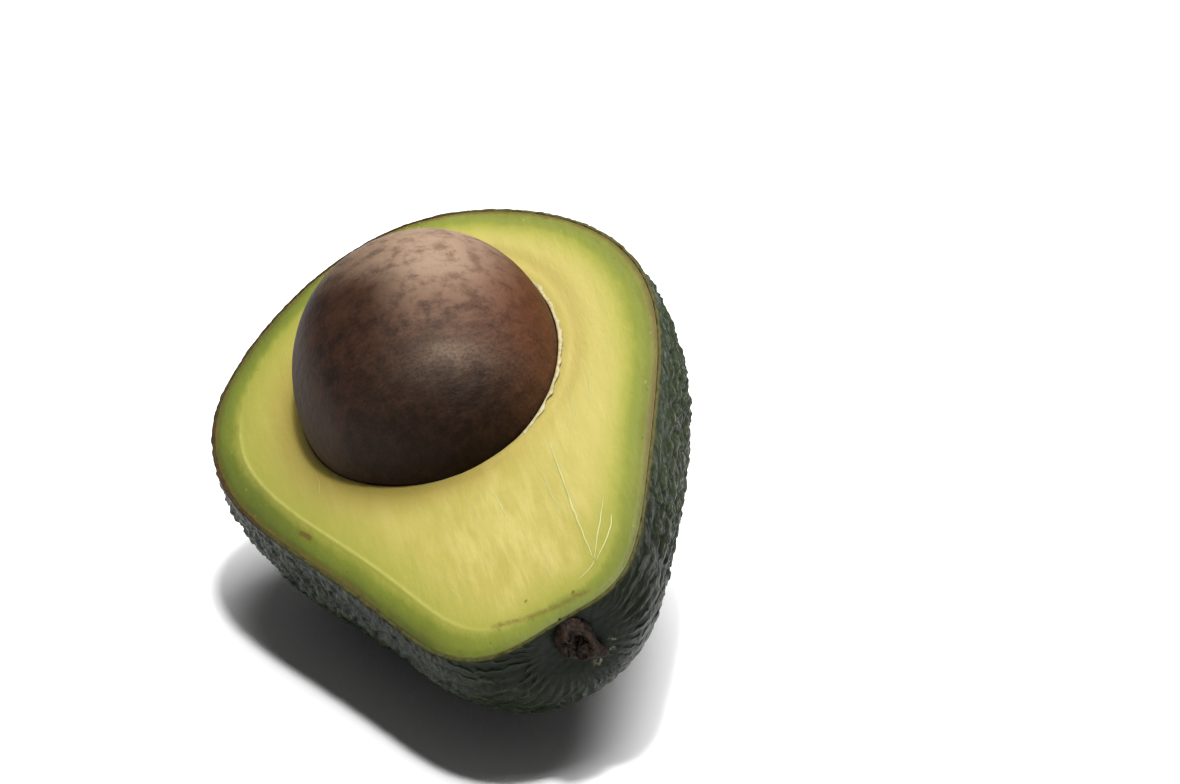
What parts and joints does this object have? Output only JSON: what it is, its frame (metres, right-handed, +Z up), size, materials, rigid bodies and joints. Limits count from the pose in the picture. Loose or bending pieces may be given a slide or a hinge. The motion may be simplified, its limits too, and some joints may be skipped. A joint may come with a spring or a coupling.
{
  "type": "halved avocado",
  "caption": "Half of a ripe avocado cut lengthwise, with its seed in place, lying on the underside of its pebbled peel.",
  "frame": {"origin": "middle of the small flat spot on the underside of the peel that the half rests on", "axes": "+Z up; +Y along the fruit towards its blossom end, stem at the -Y end; +X to the right seen from the stem end"},
  "size_m": [0.0668, 0.0939, 0.0559],
  "materials": {
    "skin": "pebbled, waxy satin, dark grey-green, with long ridges round the stem",
    "flesh": "moist cut surface, creamy yellow at the seed turning green at the peel, fine pale fibres",
    "seed": "smooth, moist, mottled dark brown",
    "stem": "dry, rough, dark purple-brown"
  },
  "bodies": {
    "root": {"skin": "skin", "flesh": "flesh", "seed": "seed", "stem_stub": "stem"}
  },
  "joints": []
}
